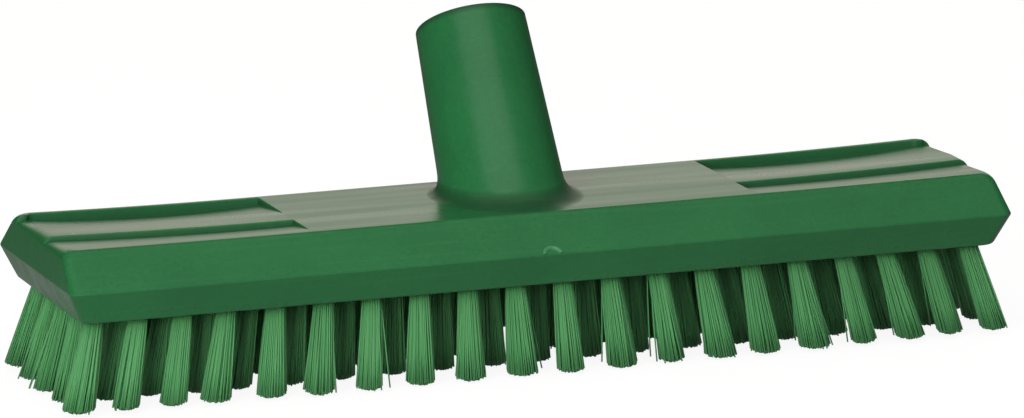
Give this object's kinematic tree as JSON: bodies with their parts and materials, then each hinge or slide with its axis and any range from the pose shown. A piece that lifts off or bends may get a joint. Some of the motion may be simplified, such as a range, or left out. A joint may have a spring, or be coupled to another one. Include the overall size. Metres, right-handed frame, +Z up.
{
  "type": "water-fed scrub brush",
  "caption": "Long plastic deck scrub with a leaning handle socket, grip steps on top and fanned rows of stiff tufts; water runs through the socket.",
  "frame": {"origin": "under the middle of the brush's box, on the plane of the tuft tips", "axes": "+X along the block, to the right seen from the front; -Y the front, from which the socket leans away; +Z up"},
  "size_m": [0.2724, 0.0808, 0.095],
  "materials": {
    "block": "satin moulded green polypropylene",
    "bristle": "stiff green polyester filament"
  },
  "bodies": {
    "root": {"block": "block", "socket": "block", "front_tufts_1": "bristle", "front_tufts_2": "bristle", "front_tufts_3": "bristle", "front_tufts_4": "bristle", "inner_front_tufts_1": "bristle", "inner_front_tufts_2": "bristle", "inner_front_tufts_3": "bristle", "inner_front_tufts_4": "bristle", "middle_tufts_1": "bristle", "middle_tufts_2": "bristle", "middle_tufts_3": "bristle", "middle_tufts_4": "bristle", "inner_rear_tufts_1": "bristle", "inner_rear_tufts_2": "bristle", "inner_rear_tufts_3": "bristle", "inner_rear_tufts_4": "bristle", "rear_tufts_1": "bristle", "rear_tufts_2": "bristle", "rear_tufts_3": "bristle", "rear_tufts_4": "bristle"}
  },
  "joints": []
}
